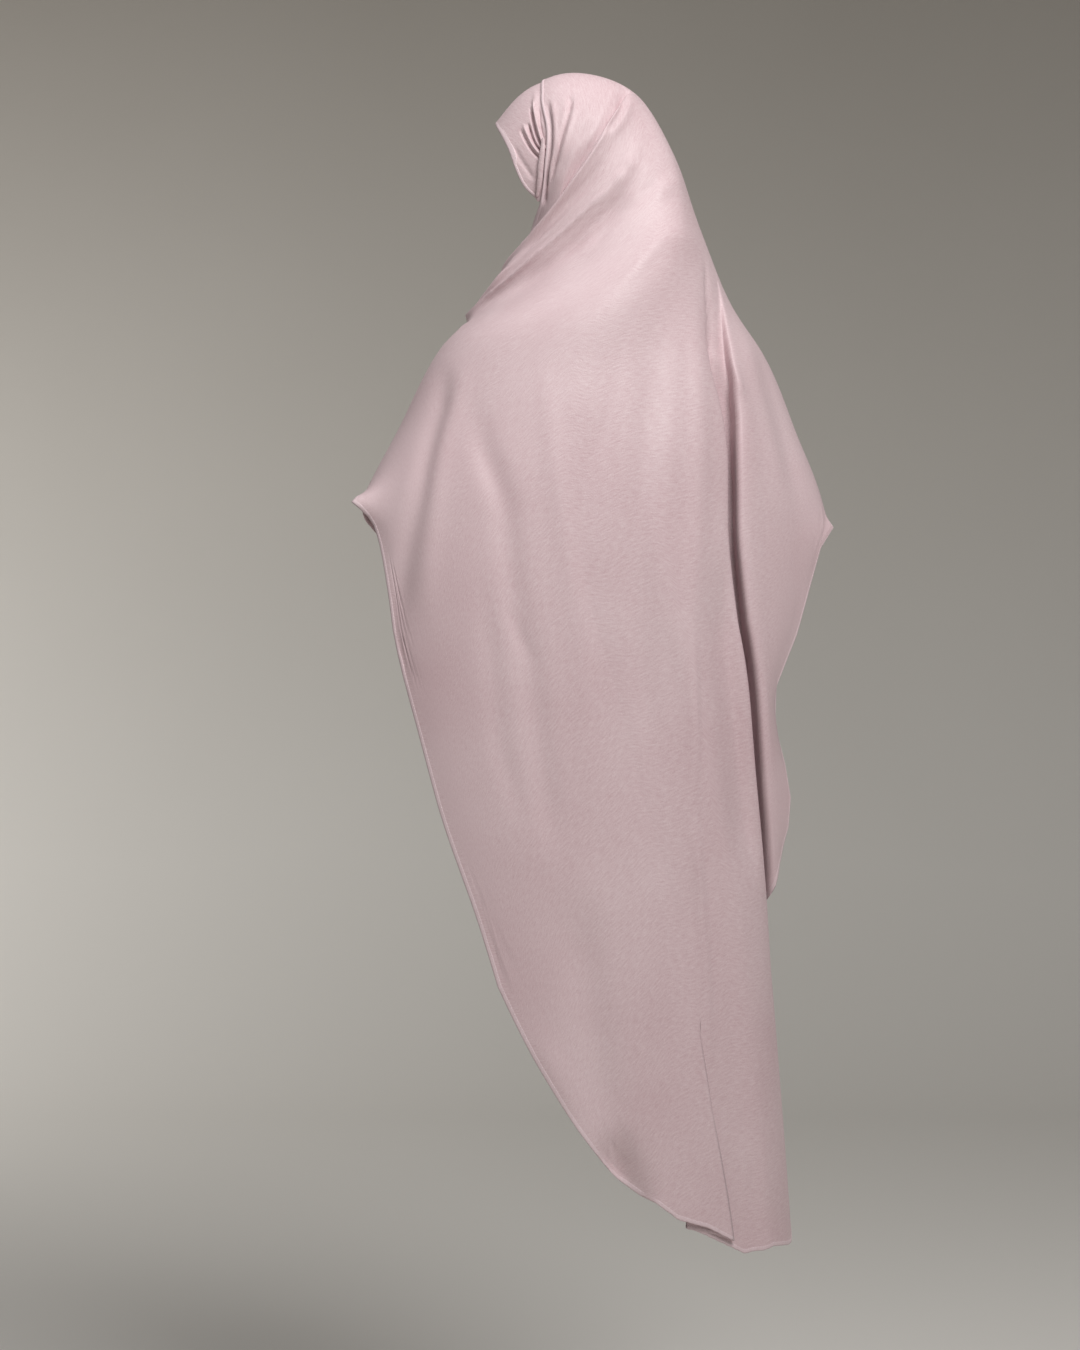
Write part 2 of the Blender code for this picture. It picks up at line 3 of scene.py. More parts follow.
import bpy
import numpy as np
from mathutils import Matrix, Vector


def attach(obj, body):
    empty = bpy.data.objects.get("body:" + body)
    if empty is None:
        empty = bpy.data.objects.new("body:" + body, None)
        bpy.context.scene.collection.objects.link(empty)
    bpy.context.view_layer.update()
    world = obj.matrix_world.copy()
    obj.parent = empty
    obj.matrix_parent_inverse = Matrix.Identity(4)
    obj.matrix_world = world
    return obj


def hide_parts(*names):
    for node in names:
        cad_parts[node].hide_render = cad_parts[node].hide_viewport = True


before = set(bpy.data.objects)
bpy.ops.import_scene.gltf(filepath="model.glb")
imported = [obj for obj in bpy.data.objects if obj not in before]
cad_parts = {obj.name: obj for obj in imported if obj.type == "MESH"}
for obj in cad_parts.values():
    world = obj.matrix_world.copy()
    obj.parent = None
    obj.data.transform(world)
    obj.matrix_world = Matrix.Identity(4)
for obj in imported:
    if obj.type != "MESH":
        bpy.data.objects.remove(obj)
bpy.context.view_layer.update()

print("frame loaded")

# Everything is in metres, with the origin where the top of a head sits, +Z up and -Y the front of the shoulders.

# the head inside the hood and the body inside the cape, the sizes that the frame was made to
head = {
    "length": 0.220,
    "width": 0.166,
    "height": 0.228,
    "turn": 42.0,  # degrees to its left
}
body = {
    "elbowSpan": 0.600,
    "elbowTwist": 0.045,
    "backReach": 0.215,
    "frontReach": 0.160,
    "backDrop": 1.388,  # crown to the lowest point behind
}
drape = {
    "wall": 0.0009,
    "pleatDepth": 0.015,
    "creaseDepth": 0.010,
    "relief": 1.5,  # how much stronger the folds of the picture are than their tables say
    "hoodRows": (26, 24, 26),  # before, across and behind the fold that runs to the chin
    "hoodCloser": 1.2,  # how much closer the rows stand at the front edge
    "capeRows": 104,
    "hemRows": 5,
    "headColumns": (-32, 66, 62),  # from, to, how many
    "backColumns": (66, 180, 54),
    "frontColumns": (180, 328, 21),
    "pleatColumns": {"lowerFold": 62, "backPleat": 90},
    "pleatReach": 1.25,  # windows to each side of a pleat in which its columns stand close
    "pleatSteps": 500,  # places tried across a pleat
    "hemSteps": 3000,  # places tried down a column to find the lower edge
}

# turn, then forward and drop of the crown line, forward and drop of the chin line,
# left, its forward, right, its forward, and the drop of both sides
hoodSections = (
    (1.00, 0.52, 0.22, 0.40, 0.97, 0.45, 0.31, 0.45, 0.31, 0.56),
    (1.00, 0.25, 0.02, 0.40, 0.97, 0.46, 0.10, 0.46, 0.10, 0.47),
    (1.00, 0.00, 0.00, 0.48, 1.05, 0.50, 0.05, 0.50, 0.00, 0.60),
    (1.00, -0.26, 0.12, 0.53, 1.13, 0.52, 0.10, 0.52, -0.09, 0.75),
    (1.00, -0.44, 0.40, 0.56, 1.20, 0.54, 0.17, 0.56, -0.14, 0.90),
    (0.85, -0.535, 0.66, 0.59, 1.28, 0.58, 0.26, 0.66, -0.16, 1.05),
    (0.50, -0.61, 0.97, 0.60, 1.39, 0.70, 0.24, 0.91, -0.14, 1.20),
)
# drops behind, in front and at the sides, reach behind and in front, left, its forward, right, its forward
capeSections = (
    (0.238, 0.262, 0.232, 0.65, 0.78, 0.308, 0.1, 0.343, -0.6),
    (0.303, 0.318, 0.300, 0.70, 0.84, 0.393, 0.3, 0.414, -0.9),
    (0.375, 0.380, 0.375, 0.74, 0.90, 0.475, 0.4, 0.470, -1.2),
    (0.468, 0.468, 0.468, 0.78, 0.96, 0.500, 0.2, 0.445, -1.2),
    (0.612, 0.612, 0.612, 0.83, 1.00, 0.490, 0.0, 0.395, -0.8),
    (0.757, 0.757, 0.757, 0.89, 1.00, 0.470, 0.0, 0.375, -0.4),
    (1.030, 1.030, 1.030, 1.00, 1.00, 0.450, 0.0, 0.420, 0.0),
)
sideReach = 2.2  # power by which a section takes the place of its sides, higher for less of it
frontPinch = 1.5  # power by which the cape narrows towards the chest

# the lower edge: degrees round the body, 0 left and 90 behind, and a share of the back's drop
hemLine = (
    (4, 0.374), (9.5, 0.393), (15, 0.430), (20.5, 0.500), (26, 0.558), (32.5, 0.632), (40, 0.712), (49, 0.795),
    (58.5, 0.857), (71, 0.913), (80, 0.935), (85, 0.946), (89, 0.959), (92, 0.972), (94.4, 0.974), (97, 0.968),
    (100, 0.963), (102.7, 0.961), (105, 0.967), (108, 0.983), (112, 0.985), (119, 0.984), (126, 0.977),
    (128.5, 0.950), (131, 0.885), (134, 0.790), (135.5, 0.700), (137, 0.610), (139, 0.525), (142.5, 0.470),
    (148, 0.425), (153, 0.388), (166, 0.390), (180, 0.396), (200, 0.420), (230, 0.465), (270, 0.495),
    (310, 0.445), (338, 0.384),
)
# shares of the back's drop at which the angles of pleats and soft folds are given
foldLevels = (0.24, 0.39, 0.54, 0.75, 0.88, 1.00)
# a pleat starts and is full at shares of the back's drop; window, overlap and angles are in degrees,
# and rest is the angle about which its columns stand at the hood
pleats = {
    "lowerFold": {"from": 0.70, "full": 1.00, "window": 10.0, "overlap": 12.0, "depth": 0.50, "rest": 86.0,
                  "angles": (72, 76, 87, 96.8, 96.9, 98.1), "profile": "crisp"},
    "backPleat": {"from": 0.16, "full": 0.34, "window": 13.0, "overlap": 11.0, "depth": 1.0, "rest": 118.0,
                  "angles": (112.5, 103, 112, 126, 130.5, 133), "profile": "rolled"},
}
# a pleat from left to right, in windows from its middle: how far out its cloth stands, in pleat depths,
# and how far it is drawn back, in overlaps
pleatProfiles = {
    "crisp": ((-2.0, 0, 0), (-1.15, 0.15, 0), (-1.0, 0.25, -0.05), (-0.75, 0.70, -0.71), (-0.5, 1.0, -1.0),
              (-0.38, 0.92, -0.93), (0, 0, 0), (0.38, -0.92, 0.93), (0.5, -1.0, 1.0), (0.75, -0.70, 0.71),
              (1.0, -0.25, 0.05), (1.15, -0.15, 0), (2.0, 0, 0)),
    "rolled": ((-2.6, 0, 0), (-1.6, 0.55, 0), (-1.15, 0.95, 0), (-1.0, 1.0, -0.05), (-0.75, 0.89, -0.70),
               (-0.5, 0.49, -1.0), (-0.40, 0.26, -0.96), (0, -0.50, 0), (0.45, -1.25, 1.06), (0.70, -1.28, 0.64),
               (0.80, -1.27, 0.16),
               (0.84, -1.01, 0.06), (0.88, -0.27, 0.22), (0.92, 0.40, 0.38), (0.96, 0.79, 0.40), (1.02, 0.92, 0.32),
               (1.12, 0.86, 0.21), (1.3, 0.67, 0.07), (1.6, 0.48, 0), (1.9, 0.31, 0), (2.6, 0, 0)),
}
columnsFree = (40.0, 176.0)  # angles between which the columns move aside to follow the pleats
# soft folds down the cape: from, to, width in degrees, depth, and the angle at each fold level
creases = (
    (0.24, 0.52, 8.0, -0.9, (300, 306, 310, 310, 310, 310)),
    (0.24, 0.52, 9.0, 0.8, (268, 268, 268, 268, 268, 268)),
    (0.24, 0.52, 8.0, -0.9, (236, 230, 228, 228, 228, 228)),
)
# waves of the free edge behind the right elbow: drop, degrees that it turns, and swing outwards in mm
waves = (
    (0.38, 0, 0), (0.45, -1, 0), (0.48, -3, 0), (0.51, -7, -2), (0.53, -9.5, -4), (0.55, -9.5, -4),
    (0.57, -6.5, 0), (0.59, -2.5, 6), (0.61, 1.5, 14), (0.635, 4, 20), (0.66, 2.5, 12), (0.69, 0, 0),
    (0.715, 0, 2), (0.735, 3, 12), (0.75, 1.5, 6), (0.77, 0, 0),
)
wavesGrow = 14.0  # degrees over which they grow beside the pleat and die towards the right side
# corners pulled out to a point over the elbows: angle, drop, reach in metres, degrees and metres to its foot
corners = ((4, 0.374, 0.034, 5.0, 0.014), (153, 0.386, 0.016, 5.0, 0.016))

# the fold that wraps from the crown to under the chin: angle and place of its edge
wrapLine = ((-80, 2.3), (-54, 2.33), (-16, 3.03), (5.5, 3.12), (26.5, 3.20), (45, 3.12), (69, 3.05), (95, 2.85),
            (120, 2.9), (280, 2.4))
wrap = {
    "place": 3.0,  # the row that runs along it, in sections
    "frontTo": 2.0,  # up to here the rows follow the drape's front edge
    "window": 0.34,
    "overlap": 0.22,
    "depth": 0.0048,
    "from": -66.0,
    "grows": 20,  # degrees
    "dies": 16,
    "to": 86.0,
}

# how many sections the front edge comes forward over the near temple
forwardEdge = ((-60, 0), (-36, 0), (-28, -0.02), (-20, 0.10), (-12, 0.20), (-4, 0.25), (4, 0.24), (20, 0.19),
               (36, 0.165), (44, 0.13), (52, 0.07), (60, 0.03), (76, 0), (120, 0))


def curveThrough(x, at, values):
    # a smooth curve through the values at those places
    at = np.asarray(at, float)
    values = np.asarray(values, float)
    slope = np.gradient(values, at, axis=0)
    x = np.clip(x, at[0], at[-1])
    k = np.clip(np.searchsorted(at, x, side="right") - 1, 0, len(at) - 2)
    width = at[k + 1] - at[k]
    t = (x - at[k]) / width
    if values.ndim > 1:
        t = t[..., None]
        width = width[..., None]
    return ((2 * t**3 - 3 * t**2 + 1) * values[k] + (t**3 - 2 * t**2 + t) * width * slope[k]
            + (3 * t**2 - 2 * t**3) * values[k + 1] + (t**3 - t**2) * width * slope[k + 1])


def smooth(x):
    x = np.clip(x, 0, 1)
    return x * x * (3 - 2 * x)


def bump(x):
    return np.exp(-x**2)


def ringTable():
    found = []
    for turn, topF, topZ, lowF, lowZ, left, leftF, right, rightF, sideZ in hoodSections:
        found.append((turn * head["turn"], 0.0, topF * head["length"], -topZ * head["height"],
                      lowF * head["length"], -lowZ * head["height"], left * head["width"], leftF * head["length"],
                      right * head["width"], rightF * head["length"], -sideZ * head["height"]))
    for backZ, frontZ, sideZ, back, front, left, leftF, right, rightF in capeSections:
        found.append((0.0, frontPinch, -back * body["backReach"], -backZ * body["backDrop"],
                      front * body["frontReach"], -frontZ * body["backDrop"], left * body["elbowSpan"],
                      leftF * body["elbowTwist"], right * body["elbowSpan"], rightF * body["elbowTwist"],
                      -sideZ * body["backDrop"]))
    return np.array(found)


rings = ringTable()
edge = 1.0  # the place along the sections of the hood's front edge
lastHood = float(len(hoodSections))
lastRing = float(len(rings) - 1)


def plainSurface(angle, v):
    turn, pinch, topF, topZ, lowF, lowZ, left, leftF, right, rightF, sideZ = np.moveaxis(
        curveThrough(v, np.arange(len(rings)), rings), -1, 0)
    u = np.radians(angle)
    c, s = np.cos(u), np.sin(u)
    midF = (topF + lowF) / 2
    midZ = (topZ + lowZ) / 2
    sideF = np.where(c > 0, leftF, rightF)
    reach = np.where(c > 0, left, right)
    side = np.abs(c) ** sideReach
    forward = midF + s * (topF - lowF) / 2 + side * (sideF - midF)
    height = midZ + s * (topZ - lowZ) / 2 + side * (sideZ - midZ)
    across = c * reach * np.abs(c) ** (pinch * np.clip(-s, 0, 1) * np.abs(c))
    yaw = np.radians(turn)
    x = forward * np.sin(yaw) + across * np.cos(yaw)
    y = -forward * np.cos(yaw) + across * np.sin(yaw)
    return np.stack([x, y, height], axis=-1)


def outward(angle, v):
    du = plainSurface(angle + 0.5, v) - plainSurface(angle - 0.5, v)
    dv = plainSurface(angle, np.minimum(v + 0.02, lastRing)) - plainSurface(angle, np.maximum(v - 0.02, 0))
    n = np.cross(dv, du)
    return n / np.linalg.norm(n, axis=-1, keepdims=True)


def inFront(angle):
    return (angle + 90) % 360 - 90


def frontEdge(angle):
    # place of the drape's front edge, which comes forward over the near temple
    return edge - curveThrough(inFront(angle), *zip(*forwardEdge))


def level(v):
    return np.interp(v, np.arange(len(rings)), -rings[:, 3] / body["backDrop"])


# folds laid out in the picture's own pixels and pressed into the side that faces it
view = {
    "azimuth": 150.0,
    "distance": 3.76,
    "middle": (-0.059, -0.708),  # picture's middle, metres to the right of the origin and above it
    "size": (1080, 1350),  # the picture's, in pixels
    "pixel": 0.00118,  # metres to a pixel
    "sensor": 36,
    "grazing": 0.02,  # how far cloth has to face the camera before a fold shows in it
    "turning": 0.22,  # over how much more the fold grows to its full height
    "margin": 40,  # pixels round a fold in which it is worked out
    "steps": 10,  # parts between two of its places
}
viewAngle = math.radians(view["azimuth"])
toCamera = np.array([math.sin(viewAngle), -math.cos(viewAngle), 0.0])
toRight = np.array([math.cos(viewAngle), math.sin(viewAngle), 0.0])


def inPicture(points):
    scale = view["distance"] / (view["distance"] - points @ toCamera)
    x = view["size"][0] / 2 + (points @ toRight - view["middle"][0]) * scale / view["pixel"]
    y = view["size"][1] / 2 - (points[..., 2] - view["middle"][1]) * scale / view["pixel"]
    return np.stack([x, y], axis=-1)


# height in mm, below nought for a valley, how far it reaches to its left and to its right in mm,
# the shares of its length over which it grows and dies, and its places in the picture
creaseFolds = (
    # creases of the hood in front of the wrap
    (-3.4, 1.2, 1.8, 0.10, 0.10, ((547, 100), (549, 112), (551, 126), (551, 140), (550, 156), (547, 176), (542, 206))),
    (1.8, 2.2, 1.8, 0.15, 0.25, ((552, 98), (555, 116), (556, 134), (555, 152), (551, 170), (547, 190))),
    (-3.0, 1.4, 2.6, 0.10, 0.25, ((570, 92), (569, 106), (565, 122), (560, 140), (556, 156), (552, 172), (546, 192))),
    (1.6, 3.0, 1.8, 0.20, 0.30, ((577, 96), (575, 110), (570, 128), (565, 146), (559, 164))),
    (-1.2, 4.0, 5.0, 0.30, 0.30, ((592, 118), (580, 132), (566, 156), (556, 180))),
)
capeFolds = (
    # start of the wrap at the crown
    (-2.2, 2.2, 3.2, 0.10, 0.35, ((620, 95), (622, 103), (619, 114), (611, 126), (602, 138))),
    (1.2, 3.5, 3.5, 0.20, 0.40, ((629, 100), (626, 112), (618, 126), (608, 140))),
    # the hollow in front of the wrap's edge, and the edge itself
    (-5.2, 11.0, 2.4, 0.25, 0.20, ((604, 130), (592, 148), (577, 170), (562, 192), (546, 214), (530, 234),
                                  (512, 256), (492, 282))),
    (2.0, 2.4, 2.2, 0.20, 0.15, ((618, 115), (607, 131), (594, 151), (580, 172), (565, 193), (550, 214), (535, 233),
                                 (520, 252), (500, 277), (480, 302))),
    # second ridge, from behind the crown to the left shoulder
    (3.8, 2.6, 2.4, 0.30, 0.06, ((645, 118), (643, 134), (638, 150), (628, 168), (613, 186), (596, 201), (578, 218),
                                (558, 237), (536, 256), (512, 277), (490, 296), (472, 315), (456, 333))),
    (-3.6, 3.0, 9.0, 0.25, 0.40, ((648, 160), (636, 176), (616, 200), (592, 222), (568, 245), (542, 267), (514, 292),
                                  (488, 314))),
    (-3.4, 6.0, 4.0, 0.30, 0.30, ((612, 150), (600, 168), (586, 186), (570, 203), (550, 224), (528, 246), (505, 270))),
    (-3.2, 9.0, 12.0, 0.30, 0.40, ((632, 192), (612, 210), (592, 226), (570, 244), (545, 264))),
    # soft folds from the nape
    (2.4, 8.0, 7.0, 0.25, 0.30, ((688, 176), (664, 188), (644, 203), (626, 220), (606, 240), (584, 262))),
    (-2.6, 10.0, 9.0, 0.20, 0.25, ((668, 182), (646, 198), (624, 216), (604, 234), (584, 250))),
    (1.6, 9.0, 9.0, 0.25, 0.30, ((700, 262), (680, 236), (662, 240), (640, 262), (610, 290))),
    # left shoulder and arm
    (-3.0, 12.0, 12.0, 0.20, 0.20, ((440, 356), (445, 380), (442, 404), (434, 432), (427, 462), (421, 492),
                                   (413, 522), (405, 560), (400, 600), (398, 640))),
    (2.0, 12.0, 12.0, 0.25, 0.30, ((468, 352), (462, 380), (452, 412), (442, 446), (436, 480), (432, 520), (426, 580),
                                  (424, 640))),
    (-2.8, 15.0, 15.0, 0.20, 0.15, ((472, 380), (478, 414), (484, 446), (494, 474), (504, 504), (508, 540),
                                   (512, 580), (520, 626), (528, 664), (536, 720), (545, 790), (556, 870))),
    (-1.6, 3.0, 3.5, 0.35, 0.35, ((508, 600), (514, 620), (521, 640), (529, 656), (536, 670))),
    (-1.4, 12.0, 12.0, 0.30, 0.30, ((484, 560), (488, 620), (494, 680), (500, 740), (516, 800), (530, 860))),
    (1.6, 14.0, 14.0, 0.30, 0.30, ((540, 340), (548, 400), (556, 470), (568, 560), (584, 660), (590, 760), (600, 860))),
    # middle of the back
    (-2.4, 16.0, 16.0, 0.25, 0.25, ((646, 284), (650, 340), (650, 400), (645, 460), (638, 520), (634, 580),
                                   (640, 660), (648, 740), (652, 820))),
    (2.6, 12.0, 14.0, 0.30, 0.30, ((690, 290), (693, 350), (692, 420), (690, 500), (688, 580), (688, 650))),
    (1.8, 10.0, 5.0, 0.35, 0.20, ((684, 560), (686, 640), (688, 720), (689, 800), (692, 860), (696, 920))),
    # the panel turning under at the pleat, and the ridge beyond it
    (-8.0, 24.0, 9.0, 0.30, 0.25, ((716, 540), (722, 620), (729, 690), (736, 760), (742, 830), (748, 900))),
    (-2.6, 2.0, 3.0, 0.25, 0.25, ((703, 257), (708, 300), (714, 344), (718, 390), (722, 430))),
    (1.6, 4.0, 5.0, 0.30, 0.30, ((718, 344), (724, 362), (731, 380), (738, 404))),
    (1.2, 10.0, 10.0, 0.30, 0.30, ((728, 300), (746, 350), (762, 410), (776, 470), (790, 530))),
    (-1.4, 12.0, 12.0, 0.30, 0.30, ((752, 340), (768, 400), (786, 460), (802, 510))),
    # crisp fold down to the low point, its bright edge, and the soft marks at its foot
    (2.2, 6.0, 5.0, 0.25, 0.45, ((690, 800), (694, 850), (698, 905), (702, 960), (706, 1020), (709, 1070),
                                 (715, 1120))),
    (-1.2, 3.0, 4.0, 0.30, 0.30, ((722, 1158), (734, 1170), (746, 1184), (760, 1204))),
    (1.2, 3.0, 4.0, 0.30, 0.30, ((730, 1150), (742, 1166), (756, 1180), (770, 1192))),
    (-1.2, 6.0, 6.0, 0.30, 0.30, ((738, 1236), (752, 1226), (768, 1220), (784, 1218))),
    # dents above the lower hem
    (-14.0, 20.0, 16.0, 0.35, 0.12, ((608, 1136), (620, 1160), (632, 1184), (643, 1208))),
    (-2.4, 6.0, 8.0, 0.35, 0.10, ((644, 1128), (636, 1146), (628, 1164), (620, 1178))),
    (2.0, 14.0, 14.0, 0.30, 0.30, ((528, 1030), (548, 1060), (566, 1090), (584, 1118))),
    (-4.5, 26.0, 22.0, 0.30, 0.25, ((578, 880), (586, 970), (598, 1060), (612, 1130), (622, 1165))),
    # small puckers along the left hem
    (-1.4, 2.5, 3.0, 0.05, 0.50, ((385, 584), (392, 587), (402, 590))),
    (-1.2, 2.5, 3.0, 0.05, 0.50, ((394, 617), (402, 620), (412, 620))),
    (-1.4, 2.5, 3.0, 0.05, 0.50, ((400, 652), (408, 658), (420, 666))),
    (-1.2, 3.0, 3.5, 0.05, 0.50, ((468, 898), (478, 892), (490, 884))),
    (-1.2, 3.0, 3.5, 0.05, 0.50, ((490, 960), (500, 952), (512, 946))),
    (1.4, 4.0, 4.0, 0.05, 0.50, ((356, 512), (368, 514), (384, 520))),
)
clothFolds = creaseFolds + capeFolds


def pressed(points, normals, folds):
    # the relief of folds in the picture, in metres along the normals
    seen = inPicture(points)
    facing = smooth((normals @ toCamera - view["grazing"]) / view["turning"])
    found = np.zeros(points.shape[:-1])
    for height, left, right, grows, dies, places in folds:
        path = np.array(places, float)
        low, high = path.min(axis=0) - view["margin"], path.max(axis=0) + view["margin"]
        near = ((seen > low) & (seen < high)).all(axis=-1) & (facing > 0)
        if not near.any():
            continue
        at = seen[near]
        steps = np.linalg.norm(np.diff(path, axis=0), axis=1)
        run = np.concatenate([[0], np.cumsum(steps)])
        fine = curveThrough(np.linspace(0, run[-1], view["steps"] * len(path)), run, path)
        best = np.full(len(at), 1e9)
        away = np.zeros(len(at))
        along = np.zeros(len(at))
        for k in range(len(fine) - 1):
            a, b = fine[k], fine[k + 1]
            d = b - a
            t = np.clip(((at - a) @ d) / (d @ d), 0, 1)
            gap = at - (a + t[:, None] * d)
            dist = np.hypot(gap[:, 0], gap[:, 1])
            closer = dist < best
            best = np.where(closer, dist, best)
            # 1 to the right of a path that runs down
            side = np.where(d[0] * gap[:, 1] - d[1] * gap[:, 0] > 0, -1, 1)
            away = np.where(closer, side * dist, away)
            along = np.where(closer, (k + t) / (len(fine) - 1), along)
        reach = np.where(away < 0, left, right) / (view["pixel"] * 1000)
        fade = smooth(along / grows) * smooth((1 - along) / dies)
        found[near] += drape["relief"] * height / 1000 * fade * bump(away / reach) * facing[near]
    return found


def shapedBy(profile, away):
    # how far out a pleat's cloth stands and how far it is drawn back, that many windows from its middle
    table = pleatProfiles[profile]
    return np.moveaxis(curveThrough(away, [row[0] for row in table], [row[1:] for row in table]), -1, 0)


def cloth(angle, v, lift=0.0, folds=clothFolds):
    drop = level(v)
    shown = angle.astype(float)
    out = np.zeros(np.shape(angle)) + lift
    beside = pleats["backPleat"]
    free = angle - curveThrough(drop, foldLevels, beside["angles"]) - beside["window"]
    grown = np.clip(free / wavesGrow, 0, 1) * smooth((180.0 - angle) / wavesGrow)
    wave = curveThrough(drop, [row[0] for row in waves], [row[1:] for row in waves])
    shown = shown + wave[..., 0] * grown
    out = out + wave[..., 1] / 1000 * grown
    for cornerAngle, cornerDrop, reach, turned, raised in corners:
        away = np.hypot((angle - cornerAngle) / turned, (drop - cornerDrop) * body["backDrop"] / raised)
        out = out + reach * np.exp(-away)
    for pleat in pleats.values():
        away = (angle - curveThrough(drop, foldLevels, pleat["angles"])) / pleat["window"]
        grown = smooth((drop - pleat["from"]) / (pleat["full"] - pleat["from"]))
        stands, drawn = shapedBy(pleat["profile"], away)
        shown = shown - pleat["overlap"] * grown * drawn
        out = out + pleat["depth"] * drape["pleatDepth"] * grown * stands
    for start, full, width, depth, angles in creases:
        middle = curveThrough(drop, foldLevels, angles)
        away = (angle - middle + 180) % 360 - 180
        fade = np.sin(math.pi * np.clip((drop - start) / (full - start), 0, 1))
        out = out + depth * drape["creaseDepth"] * fade * bump(away / width)
    a = inFront(angle)
    grown = smooth((a - wrap["from"]) / wrap["grows"]) * smooth((wrap["to"] - a) / wrap["dies"])
    wave = grown * np.sin(math.pi * np.clip((v - curveThrough(a, *zip(*wrapLine))) / wrap["window"], -1, 1))
    shownV = v - wrap["overlap"] * wave
    out = out + wrap["depth"] * wave
    points = plainSurface(shown, shownV)
    normals = outward(shown, shownV)
    out = out + pressed(points, normals, folds)
    return points + normals * out[..., None]


def followed(resting, v):
    # angle of a column at each place, as it moves aside with the pleats
    if not columnsFree[0] < resting < columnsFree[1]:
        return np.full(np.shape(v), resting)
    at = [np.full(np.shape(v), columnsFree[0])]
    still = [columnsFree[0]]
    for pleat in pleats.values():
        middle = curveThrough(level(v), foldLevels, pleat["angles"])
        for side in (-pleat["window"], pleat["window"]):
            at.append(middle + side)
            still.append(pleat["rest"] + side)
    at.append(np.full(np.shape(v), columnsFree[1]))
    still.append(columnsFree[1])
    k = min(int(np.searchsorted(still, resting, side="right")) - 1, len(still) - 2)
    t = (resting - still[k]) / (still[k + 1] - still[k])
    bent = at[k] + (at[k + 1] - at[k]) * t
    return resting + (bent - resting) * smooth((v - edge) / (lastHood - edge))


def restColumns():
    found = np.concatenate([np.linspace(*drape[part], endpoint=False) for part in
                            ("headColumns", "backColumns", "frontColumns")])
    for name, pleat in pleats.items():
        # a pleat's columns stand evenly along its cloth
        across = np.linspace(-drape["pleatReach"], drape["pleatReach"], drape["pleatSteps"])
        stands, drawn = shapedBy(pleat["profile"], across)
        shown = pleat["window"] * across - pleat["overlap"] * drawn
        out = pleat["depth"] * drape["pleatDepth"] * stands
        steps = np.hypot(np.diff(shown) * math.radians(body["backReach"]), np.diff(out))
        run = np.concatenate([[0], np.cumsum(steps)])
        even = np.linspace(0, run[-1], drape["pleatColumns"][name])
        close = pleat["rest"] + pleat["window"] * np.interp(even, run, across)
        found = found[(found < close[0] - 1) | (found > close[-1] + 1)]
        found = np.concatenate([found, close])
    return np.sort(found)


def hemDrop(angle):
    before = [(a - 360, d) for a, d in hemLine[-2:]]
    after = [(a + 360, d) for a, d in hemLine[:2]]
    return curveThrough(angle % 360, *zip(*before, *hemLine, *after))


def hemPlace(resting):
    v = np.linspace(lastHood, lastRing, drape["hemSteps"])
    past = level(v) >= hemDrop(followed(resting, v))
    return v[int(np.argmax(past))] if past.any() else lastRing


def inset(angle, v, width, closed=True):
    # steps in angle and place that lead from an edge to a line that lies width inside it
    points = cloth(angle, v, 0.0, ())
    if closed:
        run = np.roll(points, -1, axis=0) - np.roll(points, 1, axis=0)
    else:
        run = np.gradient(points, axis=0)
    da = (cloth(angle + 0.2, v, 0.0, ()) - cloth(angle - 0.2, v, 0.0, ())) / 0.4
    dv = (cloth(angle, v + 0.01, 0.0, ()) - cloth(angle, v - 0.01, 0.0, ())) / 0.02
    inward = np.cross(np.cross(dv, da), run)
    inward /= np.linalg.norm(inward, axis=-1, keepdims=True)
    inward *= np.where((inward * dv).sum(-1, keepdims=True) > 0, -1, 1)
    aa, av, vv = (da * da).sum(-1), (da * dv).sum(-1), (dv * dv).sum(-1)
    ia, iv = (inward * da).sum(-1), (inward * dv).sum(-1)
    det = aa * vv - av**2
    return width * (ia * vv - iv * av) / det, width * (iv * aa - ia * av) / det


def unrolled(grid, middle=0):
    # how far each point lies across and down the flat cloth in metres, and the way round each row
    steps = np.linalg.norm(np.roll(grid, -1, axis=1) - grid, axis=-1)
    across = np.cumsum(steps, axis=1) - steps
    drops = np.linalg.norm(np.diff(grid, axis=0), axis=-1)
    down = np.concatenate([np.zeros((1, grid.shape[1])), np.cumsum(drops, axis=0)])
    return np.stack([across - across[:, middle:middle + 1], down], axis=-1), steps.sum(axis=1)


def layFlat(mesh, flat, around):
    # a UV map in metres for a grid of points; faces over the seam take their last column's place
    rows, columns = flat.shape[:2]
    layer = mesh.uv_layers.new(name="flatCloth")
    corners = np.empty(len(mesh.loops), np.int32)
    mesh.loops.foreach_get("vertex_index", corners)
    starts = np.empty(len(mesh.polygons), np.int32)
    mesh.polygons.foreach_get("loop_start", starts)
    sizes = np.diff(np.append(starts, len(corners)))
    column = corners % columns
    row = corners // columns % rows
    over = np.repeat(np.maximum.reduceat(column, starts), sizes) - column > columns / 2
    found = flat[row, column].copy()
    found[over, 0] += around[row[over]]
    layer.data.foreach_set("uv", found.astype(np.float32).ravel())


def meshPiece(name, points, faces, finish, flat=None):
    mesh = bpy.data.meshes.new(name)
    mesh.from_pydata(np.asarray(points).reshape(-1, 3).tolist(), [], faces)
    mesh.materials.append(finish)
    mesh.shade_smooth()
    if flat is not None:
        layFlat(mesh, *flat)
    made = bpy.data.objects.new(name, mesh)
    bpy.context.scene.collection.objects.link(made)
    return made


def gridFaces(rows, columns, closed, start=0, flip=False):
    found = []
    for r in range(rows - 1):
        for c in range(columns if closed else columns - 1):
            a = start + r * columns + c
            b = start + r * columns + (c + 1) % columns
            quad = (a, a + columns, b + columns, b)
            found.append(quad[::-1] if flip else quad)
    return found


